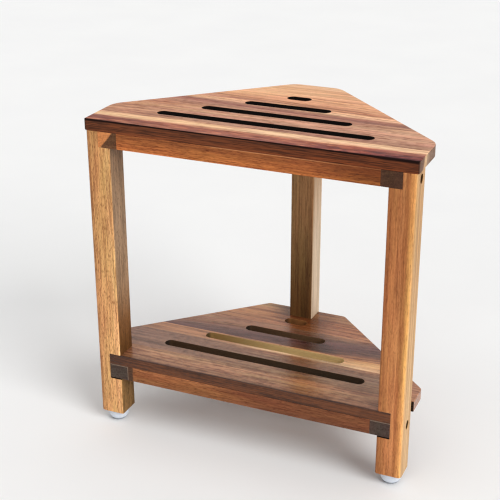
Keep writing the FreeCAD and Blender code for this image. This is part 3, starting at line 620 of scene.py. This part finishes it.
for i, (node, org, kw) in enumerate(LEGS):
    use(node, wood("wood_" + node, "Z", org, seed=21.0 + i, ends=0.72, pith=(-26.0, 40.0),
                   edge=box_edge(-214.0, 214.0, -18.0, 18.0, -18.0, 18.0), edge_gain=1.10, edge_w=3.0, **kw))


# ---- rails ---------------------------------------------------------------
def upper_rail_post(t, col, ctx):
    """Painted highlight along the top arris under the seat, on the right."""
    m = t.mul(t.step(t.Z, 443.9, 444.5), t.step(t.add(t.X, t.mul(ctx["sa"], 20.0)), -48.0, -30.0))
    col = t.mix(t.mul(m, 0.55), col, lin((214, 150, 100)))
    right = t.mul(t.step(t.X, 55.0, 180.0), t.step(t.add(t.Z, t.mul(ctx["sb"], 5.0)), 422.0, 438.0, 0.75, 1.0))
    return t.mix(t.mul(right, 0.95), col, t.mix(1.0, col, (0.49, 0.38, 0.29, 1.0), "MULTIPLY"))


def lower_rail_post(t, col, ctx):
    """Darker strip at the left end, beside a pale line at the joint."""
    along = t.step(t.add(t.X, t.mul(ctx["sa"], 50.0)), -60.0, 80.0)
    col = t.mix(1.0, col, t.mix(along, (1.12, 1.17, 1.22, 1.0), (0.70, 0.66, 0.80, 1.0)), "MULTIPLY")
    left_end_dark = t.step(t.add(t.X, t.mul(ctx["n2"], 3.0)), -172.0, -169.5, 1.0, 0.0)
    col = t.mix(t.mul(left_end_dark, 0.85), col, streaky(t, (62, 46, 36), ctx, 0.4))
    return t.mix(t.step(t.X, -180.4, -179.9, 0.55, 0.0), col, lin((196, 168, 146)))


RAIL_GRAIN = dict(wave=(1.5, 150.0, 24.0), ripple=(0.9, 30.0, 8.0), pith=(-45.0, 20.0), broad=(0.24, 140.0, 6.0), mid=(0.42, 60.0, 1.9),
                  fine=(0.65, 22.0, 1.3), fleck=(0.55, 7.0, 1.0, 0.58), grit=(0.2, 5.0, 1.5), tone=((1.22, 1.20, 1.12), (0.62, 0.52, 0.46)))
RAILS = [
    ("upper_front_rail", "XZ", (0.0, 10.0, 434.25), dict(
        bands=[(-10.75, (198, 122, 66)), (-5, (178, 107, 57)), (3, (157, 91, 49)), (8, (147, 84, 46)), (10.75, (147, 84, 46))], slope=0.004,
        edge=box_edge(-181, 181, -10.75, 10.75, -10, 10), post=upper_rail_post)),
    ("lower_front_rail", "XZ", (0.0, 10.0, 87.25), dict(
        bands=[(-10.75, (134, 84, 54)), (-3, (148, 93, 56)), (4, (150, 93, 56)), (10.75, (150, 94, 59))], slope=-0.004,
        edge=box_edge(-181, 181, -10.75, 10.75, -10, 10), post=lower_rail_post)),
    ("upper_side_rail_left", "DL", (0.0, 0.0, 434.25), dict(bands=[(-10.75, (172, 108, 66)), (0, (164, 100, 62)), (10.75, (156, 96, 60))])),
    ("upper_side_rail_right", "DR", (0.0, 0.0, 434.25), dict(bands=[(-10.75, (178, 116, 72)), (0, (168, 104, 64)), (10.75, (160, 98, 60))])),
    ("lower_side_rail_left", "DL", (0.0, 0.0, 87.25), dict(bands=[(-10.75, (150, 98, 66)), (0, (158, 102, 68)), (10.75, (146, 92, 62))])),
    ("lower_side_rail_right", "DR", (0.0, 0.0, 87.25), dict(bands=[(-10.75, (146, 92, 62)), (0, (152, 98, 64)), (10.75, (142, 90, 60))])),
]
for i, (node, grain, org, kw) in enumerate(RAILS):
    use(node, wood("wood_" + node, grain, org, seed=31.0 + i, ends=0.75, edge_gain=1.25, edge_w=1.0, **RAIL_GRAIN, **kw))


# ---- blocks --------------------------------------------------------------
def wedge_post(t, col, ctx):
    """Orange in the upper outer part, the darker colour in the lower inner corner, with a curved border."""
    q = t.add(t.add(t.X, 209.0), t.mul(t.sub(445.0, t.Z), 0.80), t.mul(ctx["n2"], 2.0))
    m = t.step(q, 21.0, 23.4)
    return t.mix(m, streaky(t, (204, 130, 76), ctx, 0.4), col)


def pale_top_post(t, col, ctx):
    """Painted highlight along the top arris."""
    return t.mix(t.step(t.Z, 96.8, 97.3, 0.0, 0.36), col, lin((176, 148, 126)))


BLOCKS = [
    ("upper_corner_block_left", dict(bands=[(-14, (106, 72, 48)), (0, (98, 65, 42)), (14, (100, 65, 41))], post=wedge_post)),
    ("upper_corner_block_right", dict(bands=[(-14, (79, 51, 35)), (0, (75, 48, 32)), (14, (70, 46, 32))])),
    ("lower_corner_block_left", dict(bands=[(-14, (80, 66, 60)), (0, (76, 63, 57)), (14, (74, 60, 55))], post=pale_top_post)),
    ("lower_corner_block_right", dict(bands=[(-14, (78, 62, 55)), (0, (73, 60, 55)), (14, (73, 58, 53))], post=pale_top_post)),
    ("upper_back_block", dict(bands=[(-20, (120, 84, 60)), (20, (112, 80, 58))])),
    ("lower_back_block", dict(bands=[(-20, (112, 80, 60)), (20, (104, 76, 58))])),
]
for i, (node, kw) in enumerate(BLOCKS):
    side = -195.0 if node.endswith("left") else 195.0 if node.endswith("right") else 0.0
    level = 434.25 if node.startswith("upper") else 87.25
    use(node, wood("wood_" + node, "Y", (side, 0.0, level), seed=41.0 + i, ring=(0.5, 2.2), pith=(10.0, -60.0), mid=(0.5, 40.0, 2.4),
                   fine=(0.4, 20.0, 1.2), wave=(1.5, 60.0, 30.0), ends=1.0, **kw))

# --------------------------------------------------------------------------
# metal and plastic
# --------------------------------------------------------------------------
def metal(name, a, b, rough, stretch=(40.0, 40.0, 400.0), metallic=1.0):
    t = Tree(name)
    n = t.noise(t.vec(t.mul(t.X, 0.02 * stretch[0]), t.mul(t.D, 0.02 * stretch[1]), t.mul(t.Z, 0.02 * stretch[2] / 10.0)), 3.0, 0.6)
    g = t.noise(t.vec(t.mul(t.X, 0.35), t.mul(t.D, 0.35), t.mul(t.Z, 0.35)), 3.0)
    t.put(t.bsdf.inputs["Base Color"], t.mix(t.step(g, 0.3, 0.7), lin(a), lin(b)))
    t.bsdf.inputs["Metallic"].default_value = metallic
    t.put(t.bsdf.inputs["Roughness"], t.add(t.mad(n, 0.22, rough - 0.11), t.mul(g, 0.08)))
    t.put(t.bsdf.inputs["Normal"], t.bump(n, 0.12, 0.05))
    return t.mat


STEEL = metal("steel_plain", (196, 196, 194), (168, 168, 170), 0.34)
DARK_STEEL = metal("steel_blackened", (58, 52, 48), (36, 33, 32), 0.5)
BRASS = metal("brass_plain", (206, 172, 108), (176, 138, 80), 0.36)


def foot_plastic():
    t = Tree("plastic_foot_white")
    g = t.noise(t.vec(t.mul(t.X, 2.2), t.mul(t.D, 2.2), t.mul(t.Z, 2.2)), 4.0, 0.6)
    m = t.noise(t.vec(t.mul(t.X, 0.12), t.mul(t.D, 0.12), t.mul(t.Z, 0.25)), 2.0)
    scuff = t.step(t.noise(t.vec(t.mul(t.X, 0.9), t.mul(t.D, 0.9), t.mul(t.Z, 0.25)), 4.0, 0.7), 0.55, 0.75)
    # painted shade: the lower part of the glide is greyer
    low = t.step(t.add(t.Z, t.mul(m, 1.2)), 4.4, 5.8)
    col = t.mix(low, lin((146, 152, 161)), lin((214, 221, 231)))
    col = t.mix(t.mul(scuff, t.step(t.Z, 7.0, 0.5, 0.05, 0.45)), col, lin((132, 132, 130)))
    col = t.scale(col, t.mad(m, 0.08, 0.96))
    t.put(t.bsdf.inputs["Base Color"], col)
    t.put(t.bsdf.inputs["Roughness"], t.add(t.mad(g, 0.16, 0.28), t.mul(scuff, 0.12)))
    t.bsdf.inputs["Subsurface Weight"].default_value = 0.12
    t.bsdf.inputs["Subsurface Radius"].default_value = (0.004, 0.004, 0.005)
    t.put(t.bsdf.inputs["Normal"], t.bump(t.add(g, t.mul(scuff, -0.6)), 0.12, 0.05))
    return t.mat


FOOT = foot_plastic()


# --------------------------------------------------------------------------
# hardware, turned ring by ring about +Z and then set in place
# --------------------------------------------------------------------------
def ring(r, z, n):
    """n points round the axis. r and z are numbers, or functions of the point's number and angle."""
    out = []
    for j in range(n):
        a = 2.0 * math.pi * j / n
        q = r(j, a) if callable(r) else r
        out.append((q * math.cos(a), q * math.sin(a), z(j, a) if callable(z) else z))
    return out


def thread(z0, z1, root, crest, pitch, n, steps, taper=None):
    """Rings of a right-hand screw thread that fades in and out over one turn."""
    count = max(2, int(round((z1 - z0) / pitch * steps)))
    rings = []
    for i in range(count + 1):
        z = z0 + (z1 - z0) * i / count
        fade = max(0.0, min(1.0, (z - z0) / pitch, (z1 - z) / pitch))
        k = taper(z) if taper else 1.0

        def r(j, a, z=z, fade=fade, k=k):
            p = (z / pitch - a / (2.0 * math.pi)) % 1.0
            ridge = min(1.0, max(0.0, 1.3 * abs(2.0 * p - 1.0) - 0.12))
            return k * (root + (crest - root) * ridge * fade)
        rings.append(ring(r, z, n))
    return rings


def hexed(inner):
    """Radius of a hexagon with the given inner radius."""
    return lambda j, a: inner / math.cos((a + math.pi / 6.0) % (math.pi / 3.0) - math.pi / 6.0)


def skin(rings, first=None, last=None):
    """Points and faces through rings of equal length: capped at the points first and last, or joined end to end."""
    n = len(rings[0])
    pts = [p for q in rings for p in q]
    faces = []
    rows = len(rings)
    for i in range(rows if first is None else rows - 1):
        a, b = i * n, (i + 1) % rows * n
        for j in range(n):
            k = (j + 1) % n
            faces.append((a + j, a + k, b + k, b + j))
    if first is not None:
        pts += [first, last]
        for j in range(n):
            k = (j + 1) % n
            faces.append((len(pts) - 2, k, j))
            faces.append((len(pts) - 1, (rows - 1) * n + j, (rows - 1) * n + k))
    return pts, faces


def upright(x, depth, z):
    return Matrix.Translation((x, depth - FRONT, z))


def along(p, n, s):
    """Stands +Z along direction n, s in from the point p."""
    m = Vector((0.0, 0.0, 1.0)).rotation_difference(Vector(n)).to_matrix().to_4x4()
    m.translation = Vector(p) + Vector(n) * s
    return m


def fit(name, shape, places, mat, body, node, sharp=38.0):
    """Copies of a shape as one piece that stands for a node."""
    pts, faces = shape
    vs, fs = [], []
    for m in places:
        k = len(vs)
        vs += [tuple((m @ Vector(p)) * 0.001) for p in pts]
        fs += [tuple(k + q for q in f) for f in faces]
    me = bpy.data.meshes.new(name)
    me.from_pydata(vs, [], fs)
    bm = bmesh.new()
    bm.from_mesh(me)
    bmesh.ops.recalc_face_normals(bm, faces=bm.faces)
    bm.to_mesh(me)
    bm.free()
    me.shade_smooth()
    me.set_sharp_from_angle(angle=math.radians(sharp))
    me.materials.append(mat)
    ob = bpy.data.objects.new(name, me)
    bpy.context.scene.collection.objects.link(ob)
    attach(ob, body)
    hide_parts(node)
    return ob


BOLT_PLACES = []
for bz in BOLT_Z:
    BOLT_PLACES += [((227.0, 18.0 - FRONT, bz), (-1, 0, 0)), ((-227.0, 18.0 - FRONT, bz), (1, 0, 0)), ((0.0, 253.0 - FRONT, bz), (0, -1, 0))]


def bolt_shape():
    """Socket-head bolt: hexagon socket, straight-knurled head, plain neck and thread."""
    n = 48

    def knurl(j, a):
        return 5.0 if j % 2 else 4.82
    rs = [ring(hexed(2.42), 3.0, n), ring(hexed(2.5), 2.8, n), ring(hexed(2.5), 0.3, n), ring(hexed(2.7), 0.0, n), ring(3.7, 0.0, n),
          ring(4.35, 0.0, n), ring(4.78, 0.2, n), ring(4.98, 0.65, n), ring(4.98, 0.85, n), ring(knurl, 1.15, n), ring(knurl, 5.1, n),
          ring(4.98, 5.4, n), ring(4.9, 5.7, n), ring(4.7, 6.0, n), ring(3.1, 6.0, n), ring(2.95, 6.3, n), ring(2.95, 9.2, n), ring(2.45, 9.6, n)]
    rs += thread(9.8, 30.1, 2.42, 2.95, 1.0, n, 6)
    rs += [ring(2.42, 30.4, n), ring(1.9, 31.0, n)]
    return skin(rs, (0.0, 0.0, 3.5), (0.0, 0.0, 31.0))


def washer_shape():
    n = 48
    return skin([ring(3.2, 0.3, n), ring(3.5, 0.0, n), ring(5.7, 0.0, n), ring(5.95, 0.12, n), ring(6.0, 0.4, n), ring(6.0, 1.1, n),
                 ring(5.95, 1.38, n), ring(5.7, 1.5, n), ring(3.5, 1.5, n), ring(3.2, 1.2, n)])


def insert_shape(length, out_root, out_crest, out_pitch, bore, bore_root, pitch, drive):
    """Threaded sleeve with a coarse outer thread, an inner thread and a hexagon drive at its mouth."""
    n = 36
    rs = [ring(out_root, 0.0, n)] + thread(0.3, length - 0.5, out_root, out_crest, out_pitch, n, 10)
    rs += [ring(out_root - 0.15, length, n), ring(bore_root + 0.1, length, n)]
    rs += thread(drive[1] + 0.4, length - 0.3, bore_root, bore, pitch, n, 5)[::-1]
    rs += [ring(hexed(drive[0]), drive[1], n), ring(hexed(drive[0]), 0.3, n), ring(hexed(drive[0] + 0.15), 0.0, n)]
    return skin(rs)


def screw_shape():
    """Countersunk wood screw with a cross recess, plain neck, thread and point."""
    n = 24
    quarter = [(2.05, 0.0), (2.05, 0.42), (1.05, 0.47), (0.52, 0.52), (0.47, 1.05), (0.42, 2.05)]

    def cross(k, z):
        out = []
        for q in range(4):
            c, d = [(1, 0), (0, 1), (-1, 0), (0, -1)][q]
            for x, y in quarter:
                out.append((k * (x * c - y * d), k * (x * d + y * c), z))
        return out
    rs = [cross(0.42, 1.7), cross(0.75, 1.2), cross(1.0, 0.0), ring(2.9, 0.0, n), ring(3.6, 0.03, n), ring(3.78, 0.2, n),
          ring(3.0, 1.18, n), ring(2.0, 2.38, n), ring(1.55, 2.9, n), ring(1.45, 3.4, n), ring(1.45, 8.4, n)]

    def taper(z):
        return 1.0 if z < 24.5 else max(0.22, 1.0 - (z - 24.5) / 6.2)
    rs += thread(8.8, 29.2, 1.25, 1.98, 1.9, n, 8, taper)
    rs += [ring(0.14, 29.8, n)]
    return skin(rs, (0.0, 0.0, 2.0), (0.0, 0.0, 30.0))


def stud_shape():
    n = 40
    rs = [ring(3.0, 6.0, n), ring(3.38, 6.4, n)] + thread(6.5, 46.4, 3.38, 3.98, 1.25, n, 6) + [ring(3.38, 46.5, n), ring(2.9, 47.0, n)]
    return skin(rs, (0.0, 0.0, 6.0), (0.0, 0.0, 47.0))


def pad_shape():
    """Domed glide: dished sole, a parting groove, and a ribbed top round a hexagonal hub."""
    n = 72
    # the dome is an arc through three points
    (ax, ay), (bx, by), (cx, cy) = (8.5, 0.0), (12.6, 4.6), (14.8, 11.5)
    d = 2.0 * (ax * (by - cy) + bx * (cy - ay) + cx * (ay - by))
    ux = ((ax * ax + ay * ay) * (by - cy) + (bx * bx + by * by) * (cy - ay) + (cx * cx + cy * cy) * (ay - by)) / d
    uy = ((ax * ax + ay * ay) * (cx - bx) + (bx * bx + by * by) * (ax - cx) + (cx * cx + cy * cy) * (bx - ax)) / d
    rad = math.hypot(ax - ux, ay - uy)
    a0, a1 = math.atan2(ay - uy, ax - ux), math.atan2(cy - uy, cx - ux)

    def arc(k):
        a = a0 + (a1 - a0) * k
        return ux + rad * math.cos(a), uy + rad * math.sin(a)

    def rib(j, a):
        return 16.35 if j % 12 in (0, 1) else 15.0

    def foot_of_rib(j, a):
        return 16.45 if j % 12 in (0, 1) else 15.15
    rs = [ring(4.6, 0.45, n), ring(5.3, 0.4, n), ring(5.8, 0.0, n), ring(7.9, 0.0, n)]
    rs += [ring(*arc(k), n) for k in (0.0, 0.05, 0.14, 0.24, 0.34)]
    r, z = arc(0.40)
    rs += [ring(r - 0.02, z - 0.12, n), ring(r - 0.22, z, n), ring(r - 0.20, z + 0.22, n), ring(r + 0.10, z + 0.36, n)]   # edge of the sole
    rs += [ring(*arc(k), n) for k in (0.50, 0.60, 0.70, 0.80, 0.90, 0.97)]
    rs += [ring(14.78, 11.6, n), ring(14.5, 11.72, n), ring(14.5, 12.0, n), ring(14.76, 12.14, n), ring(14.7, 13.4, n), ring(14.6, 15.5, n),
           ring(14.42, 16.05, n), ring(14.02, 16.5, n), ring(13.4, 16.7, n), ring(12.5, 16.7, n), ring(12.25, 16.5, n), ring(12.1, foot_of_rib, n),
           ring(11.8, rib, n), ring(9.6, rib, n), ring(hexed(6.75), rib, n), ring(hexed(6.6), foot_of_rib, n), ring(hexed(6.45), 16.5, n),
           ring(hexed(6.2), 16.7, n), ring(4.5, 16.7, n), ring(4.08, 16.4, n), ring(4.08, 6.0, n)]
    return skin(rs, (0.0, 0.0, 0.45), (0.0, 0.0, 6.0))


SCREW_PLACES = [(0.0, 10.0)] + [(sx * x, d) for x, d in ((120.0, 10.0), (188.0, 49.0), (158.0, 102.0), (117.0, 143.0), (72.0, 188.0),
                                                          (22.0, 214.5)) for sx in (1.0, -1.0)]
fit("bolts_socket_head", bolt_shape(), [along(p, n, 2.0) for p, n in BOLT_PLACES], DARK_STEEL, "stool", "leg_bolts")
fit("washers_flat", washer_shape(), [along(p, n, 8.0) for p, n in BOLT_PLACES], DARK_STEEL, "stool", "leg_bolt_washers")
fit("inserts_for_bolts", insert_shape(14.0, 3.95, 4.85, 2.5, 3.06, 3.4, 1.0, (3.1, 3.6)), [along(p, n, 18.2) for p, n in BOLT_PLACES], BRASS,
    "stool", "leg_bolt_inserts")
fit("screws_under_seat", screw_shape(), [upright(x, d, 423.8) for x, d in SCREW_PLACES], STEEL, "stool", "seat_screws")
fit("screws_under_shelf", screw_shape(), [upright(x, d, 76.8) for x, d in SCREW_PLACES], STEEL, "stool", "shelf_screws")
fit("inserts_for_feet", insert_shape(18.0, 5.3, 6.0, 3.0, 4.09, 4.5, 1.25, (4.2, 3.6)), [upright(x, d, 17.0) for x, d in FEET.values()], BRASS,
    "stool", "foot_inserts")
for f, (x, d) in FEET.items():
    fit("stud_threaded_" + f, stud_shape(), [upright(x, d, 0.0)], STEEL, "stud_" + f, "foot_stud_" + f)
    fit("glide_domed_" + f, pad_shape(), [upright(x, d, 0.0)], FOOT, "pad_" + f, "foot_pad_" + f)

# --------------------------------------------------------------------------
# stage, light and camera
# --------------------------------------------------------------------------
def make_floor():
    me = bpy.data.meshes.new("floor")
    r, n = 14.0, 96
    vs = [(r * math.cos(2 * math.pi * i / n), r * math.sin(2 * math.pi * i / n), 0.0) for i in range(n)]
    me.from_pydata(vs, [], [tuple(range(n))])
    ob = bpy.data.objects.new("floor", me)
    bpy.context.scene.collection.objects.link(ob)
    t = Tree("floor_pale")
    m = t.noise(t.vec(t.mul(t.X, 0.004), t.mul(t.D, 0.004), 0.0), 3.0)
    t.put(t.bsdf.inputs["Base Color"], t.mix(m, lin((240, 240, 240)), lin((246, 246, 245))))
    t.put(t.bsdf.inputs["Roughness"], t.mad(m, 0.1, 0.75))
    t.bsdf.inputs["Specular IOR Level"].default_value = 0.0
    me.materials.append(t.mat)


make_floor()


def sun(name, toward, angle, strength):
    """A broad, even light from the direction toward; angle is its width in degrees."""
    li = bpy.data.lights.new(name, "SUN")
    li.angle = math.radians(angle)
    li.energy = strength
    ob = bpy.data.objects.new(name, li)
    ob.location = Vector(toward).normalized() * 4.0
    ob.rotation_mode = "QUATERNION"
    ob.rotation_quaternion = (-Vector(toward)).to_track_quat("-Z", "Y")
    bpy.context.scene.collection.objects.link(ob)


sun("key", (2.1, -1.0, 1.45), 36.0, 2.05)
sun("front", (-0.4, -2.8, 1.0), 50.0, 0.45)
sun("top", (0.1, 0.1, 2.2), 80.0, 1.05)



def make_world():
    """Even white light from all round, and a pale backdrop beyond the floor."""
    world = bpy.data.worlds.new("studio")
    world.use_nodes = True
    nt = world.node_tree
    nt.nodes.clear()
    out = nt.nodes.new("ShaderNodeOutputWorld")
    both = nt.nodes.new("ShaderNodeMixShader")
    path = nt.nodes.new("ShaderNodeLightPath")
    for k, strength in ((1, 0.30), (2, 0.917)):
        bg = nt.nodes.new("ShaderNodeBackground")
        bg.inputs[0].default_value = (1.0, 1.0, 1.0, 1.0)
        bg.inputs[1].default_value = strength
        nt.links.new(bg.outputs[0], both.inputs[k])
    seen = nt.nodes.new("ShaderNodeMath")
    seen.operation = "MAXIMUM"
    nt.links.new(path.outputs["Is Camera Ray"], seen.inputs[0])
    nt.links.new(path.outputs["Is Glossy Ray"], seen.inputs[1])
    nt.links.new(seen.outputs[0], both.inputs[0])
    nt.links.new(both.outputs[0], out.inputs[0])
    bpy.context.scene.world = world


make_world()

bpy.context.scene.view_settings.view_transform = "Standard"
bpy.context.scene.cycles.use_denoising = True
bpy.context.scene.cycles.filter_width = 1.25   # crisp, like a sharpened photograph


def make_camera():
    az, el, roll = math.radians(23.396), math.radians(23.150), math.radians(-0.129)
    back = Vector((math.sin(az) * math.cos(el), -math.cos(az) * math.cos(el), math.sin(el)))
    right = Vector((math.cos(az), math.sin(az), 0.0))
    up = Vector((-math.sin(az) * math.sin(el), math.cos(az) * math.sin(el), math.cos(el)))
    r2 = right * math.cos(roll) + up * math.sin(roll)
    u2 = up * math.cos(roll) - right * math.sin(roll)
    cam = bpy.data.cameras.new("camera")
    cam.sensor_width = 36.0
    cam.lens = 1153.4 / 500.0 * 36.0
    ob = bpy.data.objects.new("camera", cam)
    m = Matrix((r2, u2, back)).transposed().to_4x4()
    m.translation = Vector((0.5554, -1.3957, 0.8988))
    ob.matrix_world = m
    bpy.context.scene.collection.objects.link(ob)
    bpy.context.scene.camera = ob


make_camera()
